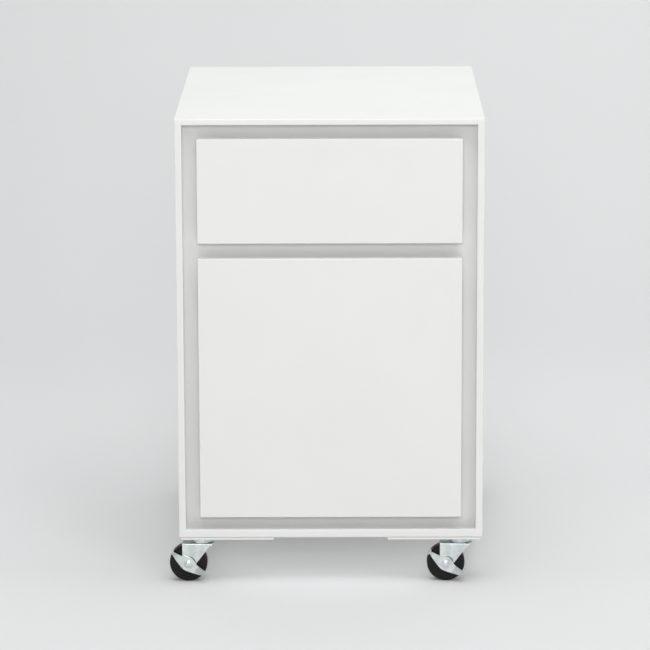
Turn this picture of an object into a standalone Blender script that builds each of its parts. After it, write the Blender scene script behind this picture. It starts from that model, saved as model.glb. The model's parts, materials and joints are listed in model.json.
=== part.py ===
"""Rolling pedestal cabinet: a folded sheet-steel case on four swivel casters, with a shallow upper drawer
and a deep file drawer. Their faces float in the case's mouth with an open finger gap all round.

The origin is on the floor under the middle of the case, +Z is up, and the drawers open towards -Y.
Every moving piece has its origin, or its parent empty's, on its joint's axis.
"""

import math

import bmesh
import bpy
from mathutils import Matrix, Vector

# Case
CASE_WIDTH = 0.400
CASE_DEPTH = 0.484
CASE_HEIGHT = 0.558
CASTER_HEIGHT = 0.0635
SIDE_EDGE = 0.0092
TOP_EDGE = 0.0082
BOTTOM_EDGE = 0.0109
EDGE_RETURN = 0.006
BACK_TRAY_DEPTH = 0.012
SHEET = 0.0010
GAP = 0.0003
BEND_RADIUS = 0.0015
BEND_STEPS = 3

# Recessed frame behind the finger gap
RECESS = 0.024
FRAME_COVER = 0.0066
FRAME_FLANGE = 0.014
STILE_EDGE_X = 0.1625
NOTCH_EDGE_X = 0.1724
NOTCH_HALF_HEIGHT = 0.026

# Drawer faces, as heights above the underside of the case
FACE_WIDTH = 0.344
FACE_DEPTH = 0.012
FACE_SHEET = 0.0012
FACE_RIM = 0.024
UPPER_FACE_LOW = 0.3945
UPPER_FACE_HIGH = 0.5318
LOWER_FACE_LOW = 0.0274
LOWER_FACE_HIGH = 0.3749

# Drawer boxes
BOX_WIDTH = 0.322
BOX_BACK_Y = 0.190
BOX_HEM = 0.006
UPPER_BOX_LOW = 0.404
UPPER_BOX_HIGH = 0.500
LOWER_BOX_LOW = 0.038
LOWER_BOX_HIGH = 0.300
FILE_RAIL_X = 0.1530
FILE_RAIL_THICK = 0.0025
FILE_RAIL_HEIGHT = 0.022
FILE_RAIL_RISE = 0.008

# Ball slides: distances out from the mounting face towards the drawer, and half heights of each member
SLIDE_FACE_X = 0.1740
SLIDE_LENGTH = 0.400
SLIDE_SHEET = 0.0012
SLIDE_MEMBERS = {
    "outer": {"web": 0.0006, "lip": 0.0095, "half_height": 0.0222},
    "middle": {"web": 0.0032, "lip": 0.0102, "half_height": 0.0183},
    "inner": {"web": 0.0121, "lip": 0.0050, "half_height": 0.0142},
}
UPPER_SLIDE_Z = 0.431
LOWER_SLIDE_Z = 0.120

# Uprights that carry the slides
UPRIGHT_SHEET = 0.0012
UPRIGHT_CROWN = 0.030
UPRIGHT_FOOT = 0.014
UPRIGHT_Y = {"front": -0.172, "rear": 0.150}

# Casters
CHANNEL_INNER_X = 0.075
CHANNEL_OUTER_X = 0.198
CHANNEL_THICK = 0.0030
CHANNEL_SETBACK = 0.001
SWIVEL_X = 0.17055
SWIVEL_Y = 0.220
TRAIL = 0.01815
WHEEL_RADIUS = 0.025
WHEEL_HALF_WIDTH = 0.009
WHEEL_TREAD_HALF_WIDTH = 0.0055
WHEEL_SIDE_RADIUS = 0.0215
HUB_RADIUS = 0.0085
HUB_RISE = 0.0013
BORE_RADIUS = 0.0034
PLATE_SIZE = (0.042, 0.030)
PLATE_THICK = 0.0014
RACE_TOP_RADIUS = 0.0132
RACE_BOTTOM_RADIUS = 0.0124
RACE_DEPTH = 0.0052
FORK_SHEET = 0.0015
FORK_HALF_GAP = 0.0110
FORK_NOSE_RADIUS = 0.0226
FORK_NOSE_X = 0.0165
FORK_SLANT_X = 0.0275
FORK_SLANT_DROP = 0.0044
FORK_TOP_REACH = 0.0315
FORK_EYE_RADIUS = 0.0080
KING_PIN_RADIUS = 0.0040
KING_PIN_HEAD = 0.0060
KING_PIN_HEAD_THICK = 0.0022
PIVOT_CLEARANCE = 0.0004
AXLE_RADIUS = 0.0030
AXLE_HEAD_RADIUS = 0.0054
AXLE_HEAD_THICK = 0.0025
NUT_SIDES = 6
BRAKE_SHEET = 0.0015
BRAKE_STANDOFF = 0.0006
BRAKE_SHOE_REACH = 0.0085
BRAKE_SHOE_CLEARANCE = 0.0010
BRAKE_SHOE_ANGLE = -55
BRAKE_TAB_REACH = 0.0045
BRAKE_TAB_RADIUS = 0.0245
BRAKE_TAB_ANGLE = 120
BRAKE_BEND_WIDTH = 0.008
ROUND_STEPS = 32
ARC_STEPS = 12
SHOULDER_STEPS = 5

# Levels and planes worked out from the sizes above
FRONT_Y = -CASE_DEPTH / 2
BACK_Y = CASE_DEPTH / 2
SIDE_X = CASE_WIDTH / 2
CASE_LOW = CASTER_HEIGHT
CASE_HIGH = CASTER_HEIGHT + CASE_HEIGHT
FRAME_Y = FRONT_Y + RECESS
BOX_FRONT_Y = FRONT_Y + FACE_DEPTH + GAP
CHANNEL_LOW = CASE_LOW - GAP - CHANNEL_THICK
PLATE_LOW = CHANNEL_LOW - GAP - PLATE_THICK
CROWN_HIGH = PLATE_LOW - RACE_DEPTH - GAP
CROWN_LOW = CROWN_HIGH - FORK_SHEET

# A sheet's outline is drawn in one plane and runs along the third axis.
PLANES = {
    "XY": lambda a, b, along: Vector((a, b, along)),
    "XZ": lambda a, b, along: Vector((a, along, b)),
    "YZ": lambda a, b, along: Vector((along, a, b)),
}
ALONG_Y = Matrix.Rotation(math.radians(90), 4, "X")


def clear_scene():
    for obj in list(bpy.data.objects):
        bpy.data.objects.remove(obj)


def new_collection(name):
    collection = bpy.data.collections.new(name)
    bpy.context.scene.collection.children.link(collection)
    return collection


def make_material(name, colour, roughness, metallic):
    material = bpy.data.materials.new(name)
    material.use_nodes = True
    shader = material.node_tree.nodes["Principled BSDF"]
    shader.inputs["Base Color"].default_value = (*colour, 1.0)
    shader.inputs["Roughness"].default_value = roughness
    shader.inputs["Metallic"].default_value = metallic
    return material


def add_part(name, mesh, material, parent=None, location=(0, 0, 0)):
    part = bpy.data.objects.new(name, mesh)
    part.data.materials.append(material)
    part.location = location
    part.parent = parent
    parts.objects.link(part)
    return part


def add_tool(target, mesh, operation):
    """A hidden solid that is cut from, or joined to, the target and moves with it."""
    tool = bpy.data.objects.new(f"{target.name}_{operation.lower()}", mesh)
    tool.parent = target
    tool.hide_render = True
    tool.display_type = "WIRE"
    cutters.objects.link(tool)
    boolean = target.modifiers.new(operation.title(), "BOOLEAN")
    boolean.operation = operation
    boolean.solver = "EXACT"
    boolean.object = tool


def mesh_from(build, name):
    mesh = bpy.data.meshes.new(name)
    build.to_mesh(mesh)
    build.free()
    return mesh


def box_mesh(name, low, high):
    low, high = Vector(low), Vector(high)
    build = bmesh.new()
    sizes = Matrix.Diagonal((high - low).to_4d())
    bmesh.ops.create_cube(build, size=1, matrix=Matrix.Translation((low + high) / 2) @ sizes)
    return mesh_from(build, name)


def rod_mesh(name, radius, start, end, sides=ROUND_STEPS, end_radius=None):
    """A cylinder between two points, or a cone when its end radius differs."""
    start, end = Vector(start), Vector(end)
    run = end - start
    turn = run.to_track_quat("Z", "Y").to_matrix().to_4x4()
    build = bmesh.new()
    bmesh.ops.create_cone(
        build, cap_ends=True, segments=sides, depth=run.length,
        radius1=radius, radius2=end_radius or radius,
        matrix=Matrix.Translation((start + end) / 2) @ turn,
    )
    return mesh_from(build, name)


def filleted(outline, radius=BEND_RADIUS, steps=BEND_STEPS):
    """The open outline with each inner corner replaced by a round bend."""
    points = [Vector(point) for point in outline]
    rounded = [points[0]]
    for before, corner, after in zip(points, points[1:], points[2:]):
        back, ahead = (before - corner).normalized(), (after - corner).normalized()
        half = back.angle(ahead) / 2
        centre = corner + (back + ahead).normalized() * radius / math.sin(half)
        first = corner + back * radius / math.tan(half) - centre
        last = corner + ahead * radius / math.tan(half) - centre
        turn = first.angle_signed(last)
        for step in range(steps + 1):
            rounded.append(centre + Matrix.Rotation(-turn * step / steps, 2) @ first)
    rounded.append(points[-1])
    return rounded


def folded_sheet(name, outline, plane, start, end, thickness, material):
    """Sheet metal whose middle surface follows the outline, from start to end along the third axis."""
    place = PLANES[plane]
    build = bmesh.new()
    verts = [build.verts.new(place(a, b, start)) for a, b in outline]
    edges = [build.edges.new(pair) for pair in zip(verts, verts[1:])]
    grown = bmesh.ops.extrude_edge_only(build, edges=edges)
    far_verts = [item for item in grown["geom"] if isinstance(item, bmesh.types.BMVert)]
    bmesh.ops.translate(build, verts=far_verts, vec=place(0, 0, end - start))
    sheet = add_part(name, mesh_from(build, name), material)
    solidify = sheet.modifiers.new("Thickness", "SOLIDIFY")
    solidify.thickness = thickness
    solidify.offset = 0
    solidify.use_even_offset = True
    return sheet


def plate_mesh(name, outline, thickness, placing):
    """A flat plate of a closed outline, centred on its own plane and then placed by a matrix."""
    curve = bpy.data.curves.new(name, "CURVE")
    curve.dimensions = "2D"
    curve.fill_mode = "BOTH"
    curve.extrude = thickness / 2
    spline = curve.splines.new("POLY")
    spline.points.add(len(outline) - 1)
    for point, (a, b) in zip(spline.points, outline):
        point.co = (a, b, 0, 1)
    spline.use_cyclic_u = True
    holder = bpy.data.objects.new(name, curve)
    cutters.objects.link(holder)
    bpy.context.view_layer.update()
    graph = bpy.context.evaluated_depsgraph_get()
    mesh = bpy.data.meshes.new_from_object(holder.evaluated_get(graph))
    bpy.data.objects.remove(holder)
    build = bmesh.new()
    build.from_mesh(mesh)
    bmesh.ops.remove_doubles(build, verts=build.verts, dist=1e-6)
    bmesh.ops.recalc_face_normals(build, faces=build.faces)
    bmesh.ops.transform(build, matrix=placing, verts=build.verts)
    build.to_mesh(mesh)
    build.free()
    return mesh


def turned_mesh_object(name, profile, material, parent, location):
    """A ring turned about the local Z axis from a closed profile of (radius, height) points."""
    build = bmesh.new()
    verts = [build.verts.new((radius, 0, height)) for radius, height in profile]
    for pair in zip(verts, verts[1:] + verts[:1]):
        build.edges.new(pair)
    ring = add_part(name, mesh_from(build, name), material, parent, location)
    screw = ring.modifiers.new("Turn", "SCREW")
    screw.steps = ROUND_STEPS
    screw.render_steps = ROUND_STEPS
    screw.use_merge_vertices = True
    screw.merge_threshold = 0.00001
    return ring


def arc(centre, radius, start, end, steps):
    """Points round an arc, with the angles in degrees."""
    for step in range(steps + 1):
        angle = math.radians(start + (end - start) * step / steps)
        yield centre[0] + radius * math.cos(angle), centre[1] + radius * math.sin(angle)


def smooth_loop(points, steps=4):
    """A closed Catmull-Rom curve through the points."""
    loop = [Vector(point) for point in points]
    count = len(loop)
    for index in range(count):
        before, start, end, after = (loop[(index + shift) % count] for shift in (-1, 0, 1, 2))
        for step in range(steps):
            t = step / steps
            yield 0.5 * (
                2 * start
                + (end - before) * t
                + (2 * before - 5 * start + 4 * end - after) * t**2
                + (3 * start - before - 3 * end + after) * t**3
            )


def empty(name, location, parent=None, turn=0):
    marker = bpy.data.objects.new(name, None)
    marker.location = location
    marker.rotation_euler.z = turn
    marker.parent = parent
    parts.objects.link(marker)
    return marker


def case_panels():
    """Two sides stand between a full-width bottom and top, and a tray closes the back."""
    half = SHEET / 2
    side_low = CASE_LOW + SHEET + GAP
    side_high = CASE_HIGH - SHEET - GAP
    for name, side in (("left", -1), ("right", 1)):
        outline = [
            (side * (SIDE_X - half), BACK_Y),
            (side * (SIDE_X - half), FRONT_Y + half),
            (side * (SIDE_X - SIDE_EDGE + half), FRONT_Y + half),
            (side * (SIDE_X - SIDE_EDGE + half), FRONT_Y + EDGE_RETURN),
        ]
        folded_sheet(f"{name}_side_panel", filleted(outline), "XY", side_low, side_high, SHEET, white)
    for name, outer, inward, edge in (
        ("top", CASE_HIGH, -1, TOP_EDGE), ("bottom", CASE_LOW, 1, BOTTOM_EDGE)
    ):
        level = outer + inward * half
        turned = outer + inward * (edge - half)
        outline = [
            (BACK_Y - GAP, level),
            (FRONT_Y + half, level),
            (FRONT_Y + half, turned),
            (FRONT_Y + EDGE_RETURN, turned),
        ]
        reach = SIDE_X - SIDE_EDGE - GAP
        panel = folded_sheet(f"{name}_panel", filleted(outline), "YZ", -reach, reach, SHEET, white)
        skin = box_mesh(
            f"{name}_skin",
            (-SIDE_X, FRONT_Y + BEND_RADIUS + half, min(outer, outer + inward * SHEET)),
            (SIDE_X, BACK_Y, max(outer, outer + inward * SHEET)),
        )
        add_tool(panel, skin, "UNION")
    back_panel(side_low, side_high)


def back_panel(low, high):
    """A shallow tray whose four flanges point forward, between the skins."""
    reach = SIDE_X - SHEET - GAP
    panel = add_part(
        "back_panel",
        box_mesh("back_panel", (-reach, BACK_Y - BACK_TRAY_DEPTH, low), (reach, BACK_Y - SHEET, high)),
        white,
    )
    hollow = box_mesh(
        "back_hollow",
        (-reach + SHEET, BACK_Y - 2 * BACK_TRAY_DEPTH, low + SHEET),
        (reach - SHEET, BACK_Y - 2 * SHEET, high - SHEET),
    )
    add_tool(panel, hollow, "DIFFERENCE")


def front_frame():
    """Stiles and rails set back behind the faces. The stiles are notched where the slides pass out."""
    half = SHEET / 2
    low = CASE_LOW + SHEET + GAP
    high = CASE_HIGH - SHEET - GAP
    wall_x = SIDE_X - SHEET - GAP - half
    for name, side in (("left", -1), ("right", 1)):
        outline = [
            (side * wall_x, FRAME_Y + FRAME_FLANGE),
            (side * wall_x, FRAME_Y + half),
            (side * STILE_EDGE_X, FRAME_Y + half),
        ]
        stile = folded_sheet(f"frame_{name}_stile", filleted(outline), "XY", low, high, SHEET, white)
        for height in (UPPER_SLIDE_Z, LOWER_SLIDE_Z):
            middle = CASE_LOW + height
            edges = sorted((side * NOTCH_EDGE_X, side * (STILE_EDGE_X - NOTCH_HALF_HEIGHT)))
            notch = box_mesh(
                "notch",
                (edges[0], FRONT_Y, middle - NOTCH_HALF_HEIGHT),
                (edges[1], FRAME_Y + FRAME_FLANGE, middle + NOTCH_HALF_HEIGHT),
            )
            add_tool(stile, notch, "DIFFERENCE")
    reach = STILE_EDGE_X - GAP
    face_y = FRAME_Y + half
    flange_y = FRAME_Y + FRAME_FLANGE
    rails = {
        "top": [
            (flange_y, high - half),
            (face_y, high - half),
            (face_y, CASE_LOW + UPPER_FACE_HIGH - FRAME_COVER),
        ],
        "middle": [
            (flange_y, CASE_LOW + UPPER_FACE_LOW + FRAME_COVER),
            (face_y, CASE_LOW + UPPER_FACE_LOW + FRAME_COVER),
            (face_y, CASE_LOW + LOWER_FACE_HIGH - FRAME_COVER),
            (flange_y, CASE_LOW + LOWER_FACE_HIGH - FRAME_COVER),
        ],
        "bottom": [
            (flange_y, low + half),
            (face_y, low + half),
            (face_y, CASE_LOW + LOWER_FACE_LOW + FRAME_COVER),
        ],
    }
    for name, outline in rails.items():
        folded_sheet(f"frame_{name}_rail", filleted(outline), "YZ", -reach, reach, SHEET, white)


def slide_uprights():
    """Hat-section posts on the inside of each side, one near the front and one near the back."""
    half = UPRIGHT_SHEET / 2
    low = CASE_LOW + SHEET + GAP
    high = CASE_HIGH - SHEET - GAP
    foot_x = SIDE_X - SHEET - GAP - half
    crown_x = SLIDE_FACE_X + GAP + half
    for side_name, side in (("left", -1), ("right", 1)):
        for place, middle in UPRIGHT_Y.items():
            near, far = middle - UPRIGHT_CROWN / 2, middle + UPRIGHT_CROWN / 2
            outline = [
                (side * foot_x, near - UPRIGHT_FOOT),
                (side * foot_x, near),
                (side * crown_x, near),
                (side * crown_x, far),
                (side * foot_x, far),
                (side * foot_x, far + UPRIGHT_FOOT),
            ]
            name = f"{place}_{side_name}_upright"
            folded_sheet(name, filleted(outline), "XY", low, high, UPRIGHT_SHEET, zinc)


def slide_set(drawer, height):
    """The three nested members of a drawer's left and right slides, closed."""
    start = FRAME_Y + SHEET + GAP
    for side_name, side in (("left", -1), ("right", 1)):
        for member, sizes in SLIDE_MEMBERS.items():
            web = side * (SLIDE_FACE_X - sizes["web"])
            lip = side * (SLIDE_FACE_X - sizes["lip"])
            reach = sizes["half_height"]
            outline = [
                (lip, height + reach), (web, height + reach), (web, height - reach), (lip, height - reach)
            ]
            name = f"{drawer}_{side_name}_slide_{member}"
            folded_sheet(name, filleted(outline), "XZ", start, start + SLIDE_LENGTH, SLIDE_SHEET, zinc)


def drawer_face(drawer, low, high):
    """A pan with rounded edges whose sides turn in behind it, open in the middle of its back."""
    half_width = FACE_WIDTH / 2
    face = add_part(
        f"{drawer}_drawer_face",
        box_mesh(f"{drawer}_face", (-half_width, FRONT_Y, low), (half_width, FRONT_Y + FACE_DEPTH, high)),
        white,
    )
    bevel = face.modifiers.new("Edges", "BEVEL")
    bevel.width = BEND_RADIUS
    bevel.segments = BEND_STEPS
    hollow = box_mesh(
        f"{drawer}_face_hollow",
        (-half_width + FACE_SHEET, FRONT_Y + FACE_SHEET, low + FACE_SHEET),
        (half_width - FACE_SHEET, FRONT_Y + FACE_DEPTH - FACE_SHEET, high - FACE_SHEET),
    )
    window = box_mesh(
        f"{drawer}_face_window",
        (-half_width + FACE_RIM, FRONT_Y + FACE_DEPTH - 2 * FACE_SHEET, low + FACE_RIM),
        (half_width - FACE_RIM, FRONT_Y + 2 * FACE_DEPTH, high - FACE_RIM),
    )
    add_tool(face, hollow, "DIFFERENCE")
    add_tool(face, window, "DIFFERENCE")


def drawer_box(drawer, low, high):
    """Sides with an inward hem, and a bottom, back and inner front between them."""
    half = SHEET / 2
    wall_x = BOX_WIDTH / 2 - half
    for side_name, side in (("left", -1), ("right", 1)):
        outline = [
            (side * (wall_x - BOX_HEM), high - half), (side * wall_x, high - half), (side * wall_x, low)
        ]
        name = f"{drawer}_drawer_{side_name}_side"
        folded_sheet(name, filleted(outline), "XZ", BOX_FRONT_Y, BOX_BACK_Y, SHEET, white)
    reach = BOX_WIDTH / 2 - SHEET - GAP
    wall_low = low + SHEET + GAP
    wall_high = high - SHEET - GAP
    walls = {
        "bottom": ((-reach, BOX_FRONT_Y, low), (reach, BOX_BACK_Y, low + SHEET)),
        "back": ((-reach, BOX_BACK_Y - SHEET, wall_low), (reach, BOX_BACK_Y, wall_high)),
        "inner_front": ((-reach, BOX_FRONT_Y, wall_low), (reach, BOX_FRONT_Y + SHEET, wall_high)),
    }
    for wall, corners in walls.items():
        name = f"{drawer}_drawer_{wall}"
        add_part(name, box_mesh(name, *corners), white)


def file_rails(box_high):
    """Bars along both sides of the file drawer, from its inner front to its back, for hanging folders."""
    high = box_high + FILE_RAIL_RISE
    for side_name, side in (("left", -1), ("right", 1)):
        edges = sorted((side * FILE_RAIL_X, side * (FILE_RAIL_X - FILE_RAIL_THICK)))
        name = f"{side_name}_file_rail"
        corners = (
            (edges[0], BOX_FRONT_Y + SHEET + GAP, high - FILE_RAIL_HEIGHT),
            (edges[1], BOX_BACK_Y - SHEET - GAP, high),
        )
        add_part(name, box_mesh(name, *corners), zinc)


def caster_channels():
    """A strip under each side of the bottom panel, from the front casters to the rear ones."""
    reach_y = CASE_DEPTH / 2 - CHANNEL_SETBACK
    for side_name, side in (("left", -1), ("right", 1)):
        edges = sorted((side * CHANNEL_INNER_X, side * CHANNEL_OUTER_X))
        name = f"{side_name}_caster_channel"
        corners = ((edges[0], -reach_y, CHANNEL_LOW), (edges[1], reach_y, CHANNEL_LOW + CHANNEL_THICK))
        add_part(name, box_mesh(name, *corners), white)


def caster_plate(corner, stand):
    """The top plate, with the tapered raceway and the headed king pin under it."""
    half_x, half_y = (size / 2 for size in PLATE_SIZE)
    name = f"{corner}_caster_plate"
    low, high = (-half_x, -half_y, PLATE_LOW), (half_x, half_y, PLATE_LOW + PLATE_THICK)
    plate = add_part(name, box_mesh(name, low, high), zinc, stand)
    pin_head_high = CROWN_LOW - GAP
    pin_end = pin_head_high - KING_PIN_HEAD_THICK
    inside_plate = PLATE_LOW + PLATE_THICK / 2
    race = rod_mesh(
        "race", RACE_BOTTOM_RADIUS, (0, 0, PLATE_LOW - RACE_DEPTH), (0, 0, inside_plate),
        end_radius=RACE_TOP_RADIUS,
    )
    pin = rod_mesh("pin", KING_PIN_RADIUS, (0, 0, pin_end + GAP), (0, 0, inside_plate))
    head = rod_mesh("head", KING_PIN_HEAD, (0, 0, pin_end), (0, 0, pin_head_high))
    for mesh in (race, pin, head):
        add_tool(plate, mesh, "UNION")


def fork_leg_outline():
    """One leg seen from the side: upright behind, slanting in front, round about the axle."""
    top = CROWN_HIGH - FORK_SHEET / 2
    slant_high = top - FORK_SLANT_DROP
    reach, rise = FORK_SLANT_X, slant_high - WHEEL_RADIUS
    slant = math.degrees(math.atan2(rise, reach) - math.acos(FORK_EYE_RADIUS / math.hypot(reach, rise)))
    eye = arc((-TRAIL, WHEEL_RADIUS), FORK_EYE_RADIUS, 180, 360 + slant, ARC_STEPS)
    corner = [(FORK_SLANT_X - TRAIL, slant_high), (FORK_TOP_REACH - TRAIL, top)]
    return [(-TRAIL - FORK_EYE_RADIUS, top), *eye, *corner]


def caster_fork(corner, swivel):
    """A crown with a hole for the king pin and two legs with holes for the axle."""
    crown_end = -TRAIL - FORK_EYE_RADIUS + FORK_SHEET / 2
    half_width = FORK_HALF_GAP + FORK_SHEET / 2
    corner_angle = math.degrees(math.asin(half_width / FORK_NOSE_RADIUS))
    nose_centre = (FORK_NOSE_X - FORK_NOSE_RADIUS, 0)
    nose = arc(nose_centre, FORK_NOSE_RADIUS, -corner_angle, corner_angle, ARC_STEPS)
    outline = [(crown_end, -half_width), *nose, (crown_end, half_width)]
    crown_middle = Matrix.Translation((0, 0, CROWN_HIGH - FORK_SHEET / 2))
    name = f"{corner}_caster_fork"
    fork = add_part(name, plate_mesh(name, outline, FORK_SHEET, crown_middle), zinc, swivel)
    for side in (-1, 1):
        middle = side * (FORK_HALF_GAP + FORK_SHEET / 2)
        placing = Matrix.Translation((0, middle, 0)) @ ALONG_Y
        add_tool(fork, plate_mesh("leg", fork_leg_outline(), FORK_SHEET, placing), "UNION")
    pin_hole = KING_PIN_RADIUS + PIVOT_CLEARANCE
    hole_start, hole_end = (0, 0, CROWN_LOW - FORK_SHEET), (0, 0, CROWN_HIGH + FORK_SHEET)
    add_tool(fork, rod_mesh("pin_hole", pin_hole, hole_start, hole_end), "DIFFERENCE")
    axle_hole = AXLE_RADIUS + GAP
    eye_start, eye_end = (
        (-TRAIL, side * 2 * half_width, WHEEL_RADIUS) for side in (-1, 1)
    )
    add_tool(fork, rod_mesh("axle_hole", axle_hole, eye_start, eye_end), "DIFFERENCE")


def caster_axle(corner, axle_point, brake):
    """The bolt through the fork and wheel, with its round head at the front and a hexagon nut behind."""
    outer = FORK_HALF_GAP + FORK_SHEET
    head_face = outer + GAP
    if brake:
        head_face = outer + BRAKE_STANDOFF + BRAKE_SHEET + GAP
    nut_face = outer + GAP
    name = f"{corner}_caster_axle"
    shank = rod_mesh(name, AXLE_RADIUS, (0, -head_face - GAP, 0), (0, nut_face + AXLE_HEAD_THICK + GAP, 0))
    axle = add_part(name, shank, zinc, axle_point)
    head = rod_mesh("head", AXLE_HEAD_RADIUS, (0, -head_face - AXLE_HEAD_THICK, 0), (0, -head_face, 0))
    nut_end = (0, nut_face + AXLE_HEAD_THICK, 0)
    nut = rod_mesh("nut", AXLE_HEAD_RADIUS, (0, nut_face, 0), nut_end, NUT_SIDES)
    add_tool(axle, head, "UNION")
    add_tool(axle, nut, "UNION")


def caster_wheel(corner, axle_point):
    """A solid wheel with flat sides, a rounded shoulder up to the tread, and a hub that stands proud."""
    hub = WHEEL_HALF_WIDTH + HUB_RISE
    across = WHEEL_RADIUS - WHEEL_SIDE_RADIUS
    along = WHEEL_HALF_WIDTH - WHEEL_TREAD_HALF_WIDTH
    shoulder = [
        (WHEEL_SIDE_RADIUS + across * unit_x, WHEEL_TREAD_HALF_WIDTH + along * unit_y)
        for unit_x, unit_y in arc((0, 0), 1, 90, 0, SHOULDER_STEPS)
    ]
    upper = [(BORE_RADIUS, hub), (HUB_RADIUS, hub), (HUB_RADIUS, WHEEL_HALF_WIDTH), *shoulder]
    profile = upper + [(radius, -height) for radius, height in reversed(upper)]
    wheel = turned_mesh_object(f"{corner}_caster_wheel", profile, rubber, axle_point, (0, 0, 0))
    wheel.rotation_euler.x = math.radians(90)


def brake_lever(corner, axle_point):
    """A leaf-shaped plate outside the fork, with a shoe bent over the tread and a foot tab bent outward."""
    outline = [
        (-0.0231, 0.0156), (-0.0188, 0.0090), (-0.0143, 0.0024), (-0.0092, -0.0043),
        (-0.0046, -0.0082), (0.0062, -0.0124), (0.0172, -0.0145), (0.0238, -0.0130),
        (0.0243, -0.0106), (0.0153, -0.0047), (0.0107, -0.0008), (0.0090, 0.0028),
        (0.0056, 0.0071), (0.0016, 0.0095), (-0.0084, 0.0112), (-0.0190, 0.0158),
    ]
    inner = FORK_HALF_GAP + FORK_SHEET + BRAKE_STANDOFF
    middle = -inner - BRAKE_SHEET / 2
    name = f"{corner}_brake_lever"
    placing = Matrix.Translation((0, middle, 0)) @ ALONG_Y
    plate = plate_mesh(name, list(smooth_loop(outline)), BRAKE_SHEET, placing)
    lever = add_part(name, plate, zinc, axle_point)
    hole = rod_mesh("hole", AXLE_RADIUS + GAP, (0, -2 * inner, 0), (0, 0, 0))
    add_tool(lever, hole, "DIFFERENCE")
    bends = (
        (BRAKE_SHOE_ANGLE, WHEEL_RADIUS + BRAKE_SHOE_CLEARANCE, BRAKE_SHOE_REACH),
        (BRAKE_TAB_ANGLE, BRAKE_TAB_RADIUS, -BRAKE_TAB_REACH),
    )
    for angle, radius, reach in bends:
        start, end = sorted((0, reach))
        half_width = BRAKE_BEND_WIDTH / 2
        flap = box_mesh("flap", (-half_width, start, 0), (half_width, end, BRAKE_SHEET))
        flap.transform(Matrix.Translation((0, middle, radius)))
        flap.transform(Matrix.Rotation(math.radians(angle), 4, "Y"))
        add_tool(lever, flap, "UNION")


def caster(corner, x, y, turn, brake):
    stand = empty(f"{corner}_caster_stand", (x, y, 0), turn=turn)
    swivel = empty(f"{corner}_caster_swivel", (0, 0, 0), stand)
    axle_point = empty(f"{corner}_caster_axle_point", (-TRAIL, 0, WHEEL_RADIUS), swivel)
    caster_plate(corner, stand)
    caster_fork(corner, swivel)
    caster_axle(corner, axle_point, brake)
    caster_wheel(corner, axle_point)
    if brake:
        brake_lever(corner, axle_point)


def casters():
    """The front pair has the brakes and trails to the left; the rear pair trails to the right."""
    caster("front_left", -SWIVEL_X, -SWIVEL_Y, 0, brake=True)
    caster("front_right", SWIVEL_X, -SWIVEL_Y, 0, brake=True)
    caster("rear_left", -SWIVEL_X, SWIVEL_Y, math.pi, brake=False)
    caster("rear_right", SWIVEL_X, SWIVEL_Y, math.pi, brake=False)


clear_scene()
parts = new_collection("rolling_pedestal_cabinet")
cutters = new_collection("cutters")
white = make_material("white_powder_coat", (0.80, 0.80, 0.78), 0.45, 0.0)
zinc = make_material("zinc_plate", (0.62, 0.65, 0.65), 0.35, 1.0)
rubber = make_material("black_wheel", (0.02, 0.02, 0.02), 0.5, 0.0)

case_panels()
front_frame()
slide_uprights()
slide_set("upper", CASE_LOW + UPPER_SLIDE_Z)
slide_set("lower", CASE_LOW + LOWER_SLIDE_Z)
drawer_face("upper", CASE_LOW + UPPER_FACE_LOW, CASE_LOW + UPPER_FACE_HIGH)
drawer_face("lower", CASE_LOW + LOWER_FACE_LOW, CASE_LOW + LOWER_FACE_HIGH)
drawer_box("upper", CASE_LOW + UPPER_BOX_LOW, CASE_LOW + UPPER_BOX_HIGH)
drawer_box("lower", CASE_LOW + LOWER_BOX_LOW, CASE_LOW + LOWER_BOX_HIGH)
file_rails(CASE_LOW + LOWER_BOX_HIGH)
caster_channels()
casters()
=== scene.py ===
"""Looks of the rolling pedestal cabinet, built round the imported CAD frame.

Metres, +Z up, drawers open towards -Y. Sizes that the frame already holds are read from it.
"""

import json
import math

import bmesh
import bpy
from mathutils import Matrix, Vector

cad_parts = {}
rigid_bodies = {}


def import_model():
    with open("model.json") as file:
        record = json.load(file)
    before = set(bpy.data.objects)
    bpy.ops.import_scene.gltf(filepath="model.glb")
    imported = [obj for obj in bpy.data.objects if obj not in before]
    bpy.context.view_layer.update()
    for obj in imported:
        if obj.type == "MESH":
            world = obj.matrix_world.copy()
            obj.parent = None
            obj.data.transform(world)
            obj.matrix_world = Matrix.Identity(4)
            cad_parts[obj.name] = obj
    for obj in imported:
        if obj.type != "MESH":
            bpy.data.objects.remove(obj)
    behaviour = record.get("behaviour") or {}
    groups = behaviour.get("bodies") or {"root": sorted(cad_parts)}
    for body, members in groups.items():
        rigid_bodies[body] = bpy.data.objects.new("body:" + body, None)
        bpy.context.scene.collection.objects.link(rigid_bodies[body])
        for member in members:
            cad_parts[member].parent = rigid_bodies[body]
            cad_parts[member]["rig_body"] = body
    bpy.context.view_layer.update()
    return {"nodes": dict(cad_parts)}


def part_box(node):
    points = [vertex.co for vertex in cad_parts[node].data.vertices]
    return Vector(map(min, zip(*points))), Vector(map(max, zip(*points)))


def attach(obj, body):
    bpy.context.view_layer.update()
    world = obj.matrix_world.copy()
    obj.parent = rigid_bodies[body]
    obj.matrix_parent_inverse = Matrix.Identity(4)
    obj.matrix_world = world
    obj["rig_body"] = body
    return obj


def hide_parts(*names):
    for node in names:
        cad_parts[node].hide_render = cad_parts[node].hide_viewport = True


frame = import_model()

# Camera
CAMERA_AT = Vector((0.0178, -4.6227, 1.3029))
CAMERA_PITCH = math.radians(12.266)
CAMERA_YAW = math.radians(-0.319)
CAMERA_ROLL = math.radians(-0.198)
CAMERA_LENS = 190.7
SENSOR_WIDTH = 36.0

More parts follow.
